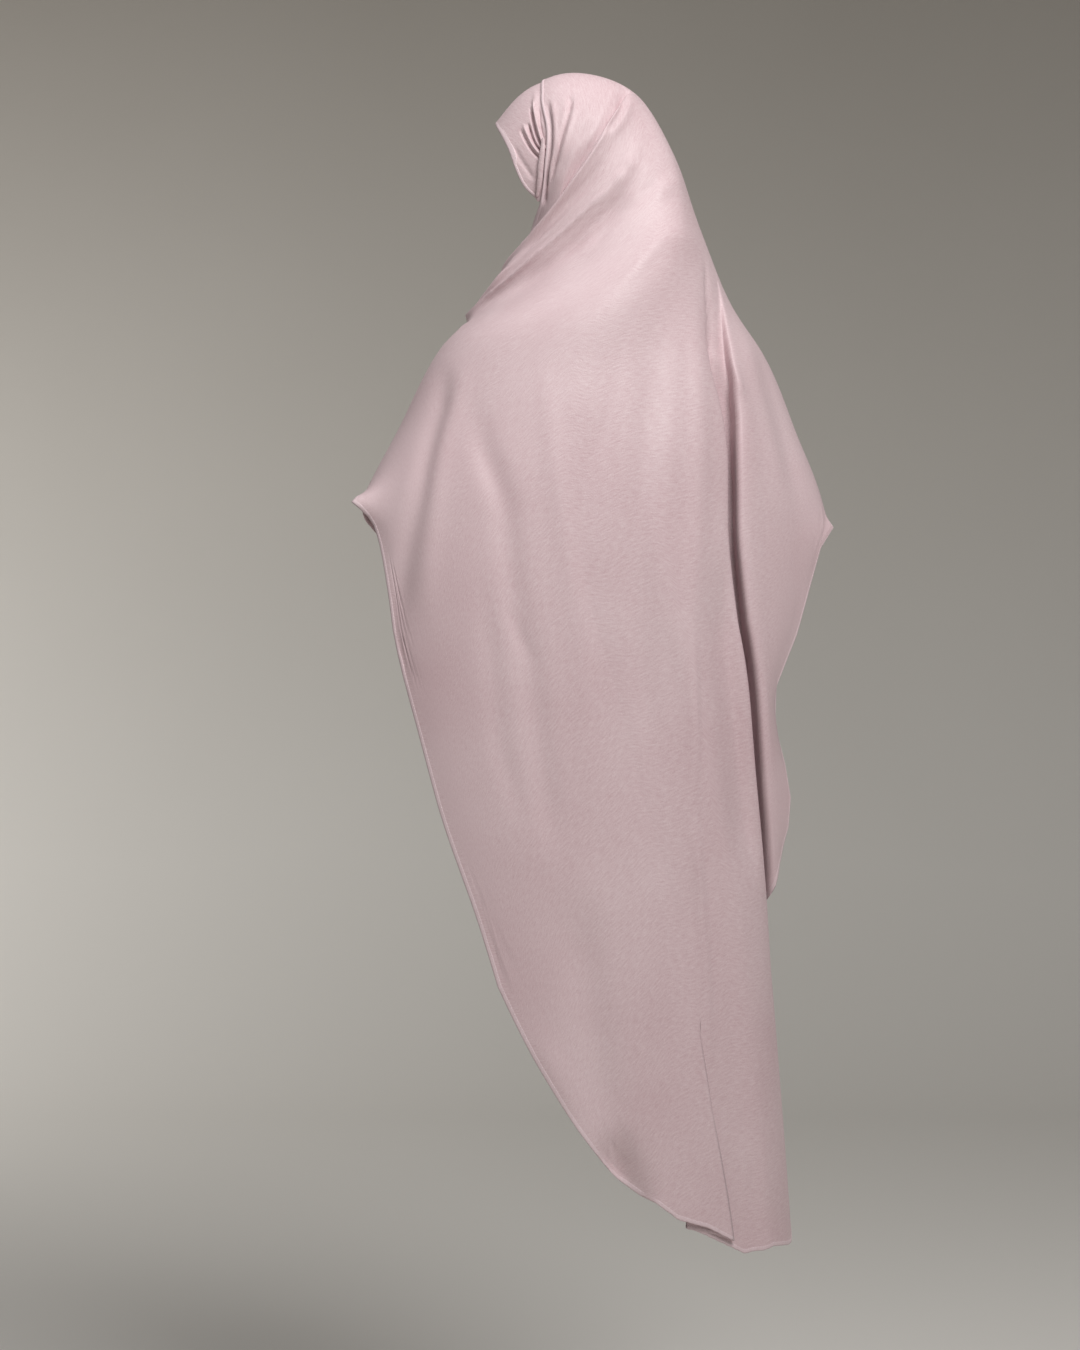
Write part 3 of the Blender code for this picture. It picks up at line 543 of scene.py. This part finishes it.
def sheetPiece(name, outer, inner, closed, finish):
    rows, columns = outer.shape[:2]
    size = rows * columns
    faces = gridFaces(rows, columns, closed) + gridFaces(rows, columns, closed, size, True)
    last = (rows - 1) * columns
    for c in range(columns if closed else columns - 1):
        d = (c + 1) % columns
        faces.append((c, d, size + d, size + c))
        faces.append((last + c, size + last + c, size + last + d, last + d))
    if not closed:
        for r in range(rows - 1):
            a, b = r * columns, (r + 1) * columns
            faces.append((a, size + a, size + b, b))
            a, b = a + columns - 1, b + columns - 1
            faces.append((a, b, size + b, size + a))
    points = np.concatenate([outer.reshape(-1, 3), inner.reshape(-1, 3)])
    return meshPiece(name, points, faces, finish, unrolled(outer, columns // 3))


def linear(code):
    # a colour code in linear light
    found = []
    for k in (0, 2, 4):
        c = int(code[k:k + 2], 16) / 255
        found.append(c / 12.92 if c <= 0.04045 else ((c + 0.055) / 1.055) ** 2.4)
    return (*found, 1.0)


def addNode(tree, kind, settings=(), links=()):
    node = tree.nodes.new(kind)
    for key, value in dict(settings).items():
        if isinstance(key, int) or key in node.inputs:
            node.inputs[key].default_value = value
        else:
            setattr(node, key, value)
    for key, source in dict(links).items():
        tree.links.new(source, node.inputs[key])
    return node


crepe = {
    "shade": "c6a8ad",  # dusty pink
    "light": "dfcbce",
    # paler copies of the cloth's two tones for the hems: a painted highlight along their rolled edges
    "hemShadeWithHighlight": "d2babf",
    "hemLightWithHighlight": "e2ced2",
    "thread": "e6d6d8",
    "roughness": 0.44,
    # length and width of a crinkle; the real ones, near 3 by 0.3 mm, are too fine to show
    "streak": (0.011, 0.0021),
    "slant": -24.0,  # degrees from the way across the cloth
    "speck": 0.0017,
    "relief": 0.00026,
    "clouds": 7.0,
    "tones": (0.32, 0.68),  # where the dye is at its darkest and lightest
    "shader": {"IOR": 1.5, "Specular IOR Level": 0.30, "Sheen Weight": 0.18, "Sheen Roughness": 0.4},
    "sheenTint": "f0dfe2",
}


def satinCrepe(name, light, shade):
    # satin-backed crepe, woven of tightly twisted polyester: slanting crinkles under a soft broad sheen
    made = bpy.data.materials.new(name)
    made.use_nodes = True
    tree = made.node_tree
    shader = tree.nodes["Principled BSDF"]
    place = addNode(tree, "ShaderNodeTexCoord")
    length, width = crepe["streak"]
    slanted = addNode(tree, "ShaderNodeMapping", {"vector_type": "TEXTURE", "Scale": (length, width, 1.0),
                                                  "Rotation": (0, 0, math.radians(crepe["slant"]))},
                      {"Vector": place.outputs["UV"]})
    crinkle = addNode(tree, "ShaderNodeTexNoise", {"Scale": 1.0, "Detail": 2.0, "Roughness": 0.6},
                      {"Vector": slanted.outputs["Vector"]})
    specks = addNode(tree, "ShaderNodeTexNoise", {"Scale": 1 / crepe["speck"], "Detail": 1.0},
                     {"Vector": place.outputs["UV"]})
    grain = addNode(tree, "ShaderNodeMix", {"data_type": "FLOAT", "Factor": 0.4},
                    {2: crinkle.outputs["Fac"], 3: specks.outputs["Fac"]})
    raised = addNode(tree, "ShaderNodeBump", {"Strength": 1.0, "Distance": crepe["relief"]},
                     {"Height": grain.outputs[0]})
    # dye that took unevenly, in clouds a hand wide
    clouds = addNode(tree, "ShaderNodeTexNoise", {"Scale": crepe["clouds"], "Detail": 2.0},
                     {"Vector": place.outputs["Object"]})
    tint = addNode(tree, "ShaderNodeMix", {"data_type": "FLOAT", "Factor": 0.72},
                   {2: clouds.outputs["Fac"], 3: grain.outputs[0]})
    ramp = addNode(tree, "ShaderNodeValToRGB", {}, {"Fac": tint.outputs[0]})
    for element, position, colour in zip(ramp.color_ramp.elements, crepe["tones"], (shade, light)):
        element.position = position
        element.color = linear(colour)
    gloss = addNode(tree, "ShaderNodeMapRange",
                    {"From Min": 0.3, "From Max": 0.7, "To Min": crepe["roughness"] - 0.04,
                     "To Max": crepe["roughness"] + 0.05}, {"Value": grain.outputs[0]})
    tree.links.new(ramp.outputs["Color"], shader.inputs["Base Color"])
    tree.links.new(gloss.outputs["Result"], shader.inputs["Roughness"])
    tree.links.new(raised.outputs["Normal"], shader.inputs["Normal"])
    for key, value in crepe["shader"].items():
        shader.inputs[key].default_value = value
    shader.inputs["Sheen Tint"].default_value = linear(crepe["sheenTint"])
    return made


drapeFinish = satinCrepe("satinCrepe", crepe["light"], crepe["shade"])
bandFinish = satinCrepe("satinCrepeBand", crepe["light"], crepe["shade"])
# the hems take the paler tones, a painted highlight along the rolled edges of the same crepe
hemHighlightFinish = satinCrepe("satinCrepeHemPaintedHighlight", crepe["hemLightWithHighlight"], crepe["hemShadeWithHighlight"])

threadFinish = bpy.data.materials.new("polyesterThread")  # spun sewing thread, a shade paler than the cloth
threadFinish.use_nodes = True
threadShader = threadFinish.node_tree.nodes["Principled BSDF"]
threadPlace = addNode(threadFinish.node_tree, "ShaderNodeTexCoord")
threadTwist = addNode(threadFinish.node_tree, "ShaderNodeTexNoise", {"Scale": 1800.0},
                      {"Vector": threadPlace.outputs["Object"]})
threadRaised = addNode(threadFinish.node_tree, "ShaderNodeBump", {"Strength": 0.6, "Distance": 0.0001},
                       {"Height": threadTwist.outputs["Fac"]})
threadFinish.node_tree.links.new(threadRaised.outputs["Normal"], threadShader.inputs["Normal"])
threadShader.inputs["Base Color"].default_value = linear(crepe["thread"])
threadShader.inputs["Roughness"].default_value = 0.5
print("materials made")

hem = {
    "width": 0.005,
    "thick": 0.0014,
    "faceWidth": 0.0035,
    "faceThick": 0.0020,
    "sides": 12,
    "square": 0.6,  # power that squares its roll, 1 for an oval
    "rowsIn": 2.0,  # hem widths from the edge over which the drape's rows run along it
    "blend": 4,
    "turnMost": 1.2,  # degrees that a column may move aside over one hem width
    "evened": 4,  # columns to each side over which that is evened out
    "unturned": 7,  # degrees beside the lower fold over which that turn comes back, from half as many
}
rest = restColumns()
beforeWrap, onWrap, behindWrap = drape["hoodRows"]
wrapStart, wrapEnd = wrap["place"] - wrap["window"], wrap["place"] + wrap["window"]
hoodPlaces = np.concatenate([
    edge + (wrapStart - edge) * np.linspace(0, 1, beforeWrap, endpoint=False) ** drape["hoodCloser"],
    np.linspace(wrapStart, wrapEnd, onWrap, endpoint=False),
    np.linspace(wrapEnd, lastHood, behindWrap, endpoint=False),
])
# rows of the hood bend so that one of them runs along the wrap's edge, and the first along the front edge
bend = curveThrough(inFront(rest), *zip(*wrapLine)) - wrap["place"]
hoodV = []
for place in hoodPlaces:
    if place < wrap["place"]:
        weight = smooth((place - edge) / (wrap["place"] - edge))
    else:
        weight = smooth((lastHood - place) / (lastHood - wrap["place"]))
    first = (frontEdge(rest) - edge) * smooth((wrap["frontTo"] - place) / (wrap["frontTo"] - edge))
    hoodV.append(place + bend * weight + first)
hoodV = np.array(hoodV)
lowV = np.array([hemPlace(a) for a in rest])
lowA = np.array([float(followed(a, v)) for a, v in zip(rest, lowV)])
hemInA, hemInV = inset(lowA, lowV, hem["width"])
hemInA = np.clip(hemInA, -hem["turnMost"], hem["turnMost"])
evened = sum(np.roll(hemInA, k) for k in range(-hem["evened"], hem["evened"] + 1)) / (2 * hem["evened"] + 1)
# none where the lower fold turns back
hemInA = evened * smooth(np.abs(rest - pleats["lowerFold"]["rest"]) / hem["unturned"] - 0.5)
capeA, capeV = [], []
for share in np.linspace(0, 1, drape["capeRows"]):
    # down the cape the rows come to run along the hem
    v = lastHood + (lowV - lastHood) * share
    blend = share ** hem["blend"]
    capeV.append(v + hemInV * hem["rowsIn"] * blend)
    capeA.append(np.array([float(followed(a, p)) for a, p in zip(rest, v)]) + hemInA * hem["rowsIn"] * blend)
for share in np.linspace(hem["rowsIn"], 0, drape["hemRows"] + 1)[1:]:
    capeV.append(lowV + hemInV * share)
    capeA.append(lowA + hemInA * share)
hoodA = np.stack([followed(a, hoodV[:, k]) for k, a in enumerate(rest)], axis=1)
gridV = np.concatenate([hoodV, capeV])
gridA = np.concatenate([hoodA, capeA])

half = drape["wall"] / 2
drapeCloth = sheetPiece("drapeCloth", cloth(gridA, gridV, half), cloth(gridA, gridV, -half), True, drapeFinish)
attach(drapeCloth, "root")
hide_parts("drape")
print("drape made", len(drapeCloth.data.polygons))


# hems: the cloth folded over and sewn, a flat roll that runs along an edge
def hemRoll(name, angle, v, steps, thick, lift, closed, side=1):
    da, dv = steps
    lines = []
    for turn in np.linspace(0, 2 * math.pi, hem["sides"], endpoint=False):
        inside = 0.5 - 0.5 * math.cos(turn)  # 0 at the edge, 1 inside
        swell = abs(math.sin(turn)) ** hem["square"] * math.copysign(1, math.sin(turn))
        lines.append(cloth(angle + side * da * inside, v + side * dv * inside, lift + swell * thick / 2))
    grid = np.stack(lines)
    n, columns = grid.shape[:2]
    faces = []
    for r in range(n):
        for c in range(columns if closed else columns - 1):
            d = (c + 1) % columns
            q = (r + 1) % n
            quad = (r * columns + c, r * columns + d, q * columns + d, q * columns + c)
            faces.append(quad if side > 0 else quad[::-1])
    if not closed:
        ends = [tuple(r * columns for r in range(n)), tuple(r * columns + columns - 1 for r in range(n))]
        faces.append(ends[0] if side > 0 else ends[0][::-1])
        faces.append(ends[1][::-1] if side > 0 else ends[1])
    return meshPiece(name, grid, faces, hemHighlightFinish, unrolled(grid))


drapeHem = hemRoll("drapeHem", gridA[-1], gridV[-1], (hemInA, hemInV), hem["thick"], 0.0, True)
crownIn = inset(gridA[0], gridV[0], hem["faceWidth"])
crownHem = hemRoll("crownHem", gridA[0], gridV[0], crownIn, hem["faceThick"], 0.0, True, -1)
print("hems made")

# band round the face
band = {
    "wall": 0.0009,
    "tuck": 0.20,
    "ends": (-27.0, 207.0),
    "taper": 44.0,
    "short": 0.0028,
    "lift": -0.0022,
    "rows": 90,
    "gatherColumns": 240,
    "columns": 110,
    "gathersTo": 62.0,
    "narrows": 2.4,  # power by which it narrows to its ends
    "swell": 0.005,  # how far its middle stands proud over the brow
    "swellAt": 90,  # degrees
    "swellWidth": 45,
}
bandAngle = np.concatenate([np.linspace(band["ends"][0], band["gathersTo"], band["gatherColumns"], endpoint=False),
                            np.linspace(band["gathersTo"], band["ends"][1], band["columns"])])
nearEnd = np.minimum(bandAngle - bandAngle[0], bandAngle[-1] - bandAngle) / band["taper"]
bandTop = frontEdge(bandAngle)
wide = cloth(bandAngle, bandTop, 0.0, ()) - cloth(bandAngle, np.zeros(bandAngle.shape), 0.0, ())
span = np.linalg.norm(wide, axis=-1)
face = (1 - np.clip(nearEnd, 0, 1)) ** band["narrows"] * (bandTop - (hem["faceWidth"] + band["short"]) / span)

# gathers of the band, which run to one point at the temple: height in mm, reach to the left and right in mm,
# and places in the picture
bandFolds = (
    (-5.0, 1.0, 1.5, 0.20, 0.02, ((530, 106), (532, 120), (535, 133), (539, 143), (543, 151))),
    (1.8, 1.6, 1.6, 0.20, 0.02, ((533, 98), (535, 114), (538, 128), (542, 141), (545, 149))),
    (-4.2, 1.0, 1.6, 0.20, 0.02, ((527, 122), (530, 134), (535, 145), (541, 152))),
    (-2.2, 1.3, 1.8, 0.25, 0.05, ((519, 128), (525, 140), (532, 151), (540, 159))),
    (1.3, 2.0, 1.8, 0.25, 0.10, ((522, 122), (527, 134), (533, 146), (540, 155))),
    (-0.9, 3.0, 3.4, 0.30, 0.20, ((512, 142), (518, 156), (527, 170), (534, 182))),
    (0.9, 3.0, 3.0, 0.30, 0.20, ((536, 88), (535, 100), (537, 114), (541, 130))),
    (-1.6, 1.0, 1.4, 0.30, 0.05, ((538, 104), (539, 118), (541, 132), (544, 146))),
)

bandShare = np.linspace(0, 1, band["rows"])[:, None]
bandGridA = np.repeat(bandAngle[None], band["rows"], axis=0)
bandGridV = face + (bandTop + band["tuck"] - face) * bandShare
bandAcross = np.clip((bandGridV - face) / (bandTop - face), 0, 1)
bandBrow = bump((bandGridA - band["swellAt"]) / band["swellWidth"])
bandLift = band["lift"] + band["swell"] * np.sin(math.pi * bandAcross) * bandBrow
bandRelief = bandFolds + creaseFolds
bandCloth = sheetPiece("bandCloth", cloth(bandGridA, bandGridV, bandLift + band["wall"] / 2, bandRelief),
                       cloth(bandGridA, bandGridV, bandLift - band["wall"] / 2, bandRelief), False, bandFinish)
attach(bandCloth, "root")
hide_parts("forehead_band")
faceIn = inset(bandAngle, face, hem["faceWidth"], False)
faceHem = hemRoll("faceHem", bandAngle, face, faceIn, hem["faceThick"], band["lift"], False, -1)
print("band made")

for piece, node, slot in ((drapeHem, "drape_hem", "satin_crepe"), (crownHem, "crown_hem", "satin_crepe"),
                          (faceHem, "face_hem", "band_crepe")):
    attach(piece, "root")
    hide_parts(node)

# gathered strand at the temple: a rope of cloth with creases along it
strand = {
    "width": 0.0075,
    "depth": 0.0034,
    "ends": (14.0, -24.0),
    "clear": 0.0004,  # from the drape's front edge
    "sunk": 0.0022,
    "steps": 60,
    "sides": 28,
    "endShare": 0.30,  # thickness of its ends
    "creases": 3,  # pairs of them round it
    "creaseShare": 0.16,  # their depth
    "creaseTwist": 2.0,  # half turns that they make along it
}


def gatheredStrand():
    t = np.linspace(0, 1, strand["steps"])
    angle = strand["ends"][0] + (strand["ends"][1] - strand["ends"][0]) * t
    v = frontEdge(angle)
    da, dv = inset(angle, v, strand["width"] / 2 + strand["clear"], False)
    angle, v = angle + da, v + dv
    middle = cloth(angle, v, (strand["depth"] - strand["sunk"]) / 2, ())
    out = outward(angle, v)
    side = np.cross(np.gradient(middle, axis=0), out)
    side /= np.linalg.norm(side, axis=-1, keepdims=True)
    swell = strand["endShare"] + (1 - strand["endShare"]) * np.sin(math.pi * t) ** 0.5
    lines = []
    for k in range(strand["sides"]):
        turn = 2 * math.pi * k / strand["sides"]
        crease = np.cos(strand["creases"] * 2 * turn + strand["creaseTwist"] * t * math.pi) ** 4
        thick = swell * (1 - strand["creaseShare"] * crease)
        lines.append(middle + side * (thick * strand["width"] / 2 * math.cos(turn))[:, None]
                     - out * (thick * strand["depth"] / 2 * math.sin(turn))[:, None])
    grid = np.stack(lines, axis=1)
    n, sides = grid.shape[:2]
    faces = [tuple(range(sides - 1, -1, -1)), tuple((n - 1) * sides + k for k in range(sides))]
    faces += [tuple(reversed(q)) for q in gridFaces(n, sides, True)]
    return meshPiece("templeTuck", grid, faces, bandFinish, unrolled(grid))


templeTuck = gatheredStrand()
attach(templeTuck, "root")
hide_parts("temple_tuck")
print("strand made")


# stitches of the hems, each a short grain of thread
stitch = {
    "length": 0.0026,
    "step": 0.0037,
    "halfWidth": 0.00032,
    "rise": 0.00030,
    "sink": 0.0002,
    "drapeAt": 0.78,  # shares of the hem's width from its edge
    "faceAt": 0.80,
    "sunk": 0.0001,
}


def stitchRow(name, angle, v, steps, inside, lift, closed, side=1):
    da, dv = steps
    path = cloth(angle + side * da * inside, v + side * dv * inside, lift)
    normals = outward(angle, v)
    if closed:
        path = np.concatenate([path, path[:1]])
        normals = np.concatenate([normals, normals[:1]])
    run = np.concatenate([[0], np.cumsum(np.linalg.norm(np.diff(path, axis=0), axis=1))])
    count = int(run[-1] / stitch["step"])
    points, faces = [], []
    for k in range(count):
        at = (k + 0.5) * run[-1] / count
        a, b = (np.array([np.interp(at + d, run, path[:, i]) for i in range(3)]) for d in
                (-stitch["length"] / 2, stitch["length"] / 2))
        n = np.array([np.interp(at, run, normals[:, i]) for i in range(3)])
        along = (b - a) / np.linalg.norm(b - a)
        aside = np.cross(along, n) * stitch["halfWidth"]
        mid = (a + b) / 2
        base = len(points)
        points += [a, mid + aside, mid + n * stitch["rise"], mid - aside, mid - n * stitch["sink"], b]
        faces += [(base, base + 1, base + 2), (base, base + 2, base + 3), (base, base + 3, base + 4),
                  (base, base + 4, base + 1), (base + 5, base + 2, base + 1), (base + 5, base + 3, base + 2),
                  (base + 5, base + 4, base + 3), (base + 5, base + 1, base + 4)]
    made = meshPiece(name, np.array(points), faces, threadFinish)
    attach(made, "root")
    return made


drapeStitches = stitchRow("drapeStitches", gridA[-1], gridV[-1], (hemInA, hemInV), stitch["drapeAt"],
                          hem["thick"] / 2 - stitch["sunk"], True)
faceStitches = stitchRow("faceStitches", bandAngle, face, faceIn, stitch["faceAt"],
                         band["lift"] + hem["faceThick"] / 2, False, -1)
print("stitches made")

# floor, backdrop, lights and camera
studio = {
    "floor": -1.70,
    "before": 5.5,
    "behind": 5.0,  # from the object to the wall
    "wall": 5.4,  # its height
    "width": 13.0,
    "sweep": 1.6,  # radius of the bend between floor and wall
    "bends": 24,
    "slack": 0.01,
    "paint": ("e4e1dc", "aaa49c"),  # below, and darker above: painted shade of the light falling off up the wall
    "paintShadeAt": (0.2, 0.9),
    "paintRough": 0.9,
    "sky": "e6e4e0",
    "skyPower": 0.24,
}


def seenFrom(right, toward, up):
    return tuple(toRight * right + toCamera * toward + np.array([0, 0, up]))


bpy.ops.object.select_all(action="DESELECT")
bpy.ops.mesh.primitive_plane_add(size=1)
floor = bpy.context.object
floor.name = "floor"
# across the picture, and from in front of the camera's foot to the wall
floor.scale = (studio["width"], studio["behind"] + studio["before"], 1)
floor.rotation_euler = (0, 0, viewAngle)
floor.location = seenFrom(0, (studio["before"] - studio["behind"]) / 2, studio["floor"])
bpy.ops.object.transform_apply(location=True, rotation=True, scale=True)
bpy.ops.object.mode_set(mode="EDIT")
bpy.ops.mesh.select_all(action="DESELECT")
bpy.ops.object.mode_set(mode="OBJECT")
for bit in floor.data.edges:
    middle = sum((floor.data.vertices[k].co for k in bit.vertices), Vector()) / 2
    bit.select = middle.dot(Vector(toCamera)) < -studio["behind"] + studio["slack"]
bpy.ops.object.mode_set(mode="EDIT")
bpy.ops.mesh.select_mode(type="EDGE")
bpy.ops.mesh.extrude_edges_move(TRANSFORM_OT_translate={"value": (0, 0, studio["wall"])})
bpy.ops.object.mode_set(mode="OBJECT")
for bit in floor.data.edges:
    ends = [floor.data.vertices[k].co for k in bit.vertices]
    middle = (ends[0] + ends[1]) / 2
    atWall = middle.dot(Vector(toCamera)) < -studio["behind"] + studio["slack"]
    bit.select = atWall and middle.z < studio["floor"] + studio["slack"]
bpy.ops.object.mode_set(mode="EDIT")
bpy.ops.mesh.bevel(offset=studio["sweep"], segments=studio["bends"])
bpy.ops.object.mode_set(mode="OBJECT")
bpy.ops.object.shade_smooth()
paint = bpy.data.materials.new("mattStudioPaintWithPaintedShade")  # grey emulsion, rolled on, painted darker towards the top as shade of the light falling off
paint.use_nodes = True
paintPlace = addNode(paint.node_tree, "ShaderNodeTexCoord")
paintCloud = addNode(paint.node_tree, "ShaderNodeTexNoise", {"Scale": 1.1, "Detail": 3.0},
                     {"Vector": paintPlace.outputs["Object"]})
paintPart = addNode(paint.node_tree, "ShaderNodeSeparateXYZ", {}, {"Vector": paintPlace.outputs["Object"]})
paintedShadeRise = addNode(paint.node_tree, "ShaderNodeMapRange", {"From Min": -1.8, "From Max": 1.7},
                    {"Value": paintPart.outputs["Z"]})
paintMix = addNode(paint.node_tree, "ShaderNodeMix", {"data_type": "FLOAT", "Factor": 0.08},
                   {2: paintedShadeRise.outputs["Result"], 3: paintCloud.outputs["Fac"]})
# painted shade: the wall's colour darkens with height, standing in for the light falling off towards the top
paintedShadeTone = addNode(paint.node_tree, "ShaderNodeValToRGB", {}, {"Fac": paintMix.outputs[0]})
for element, position, colour in zip(paintedShadeTone.color_ramp.elements, studio["paintShadeAt"], studio["paint"]):
    element.position = position
    element.color = linear(colour)
paintShader = paint.node_tree.nodes["Principled BSDF"]
paint.node_tree.links.new(paintedShadeTone.outputs["Color"], paintShader.inputs["Base Color"])
paintShader.inputs["Roughness"].default_value = studio["paintRough"]
floor.data.materials.append(paint)

world = bpy.data.worlds.new("studio")
bpy.context.scene.world = world
world.use_nodes = True
world.node_tree.nodes["Background"].inputs["Color"].default_value = linear(studio["sky"])
world.node_tree.nodes["Background"].inputs["Strength"].default_value = studio["skyPower"]


def softLight(name, place, target, size, power, colour):
    data = bpy.data.lights.new(name, "AREA")
    data.size = size
    data.energy = power
    data.color = colour
    made = bpy.data.objects.new(name, data)
    made.location = place
    made.rotation_euler = (Vector(place) - Vector(target)).to_track_quat("Z", "Y").to_euler()
    bpy.context.scene.collection.objects.link(made)


softLight("keyLight", seenFrom(0.9, 1.9, 1.45), (0, 0, -0.4), 1.2, 68, (1.0, 0.99, 0.98))
softLight("topLight", seenFrom(-0.5, 0.3, 1.5), (0, 0, -0.1), 1.0, 11, (1.0, 1.0, 1.0))
softLight("wallLight", seenFrom(-3.1, -2.9, -0.2), seenFrom(-0.9, -5.0, -0.9), 1.4, 31, (1.0, 0.98, 0.95))

camera = bpy.data.cameras.new("camera")
camera.sensor_fit = "VERTICAL"
camera.sensor_height = view["sensor"]
camera.lens = view["sensor"] * view["distance"] / (view["size"][1] * view["pixel"])
cameraObject = bpy.data.objects.new("camera", camera)
bpy.context.scene.collection.objects.link(cameraObject)
cameraObject.location = seenFrom(view["middle"][0], view["distance"], view["middle"][1])
cameraObject.rotation_euler = (math.radians(90), 0, viewAngle)
bpy.context.scene.camera = cameraObject
bpy.context.scene.view_settings.view_transform = "Standard"
print("studio made")
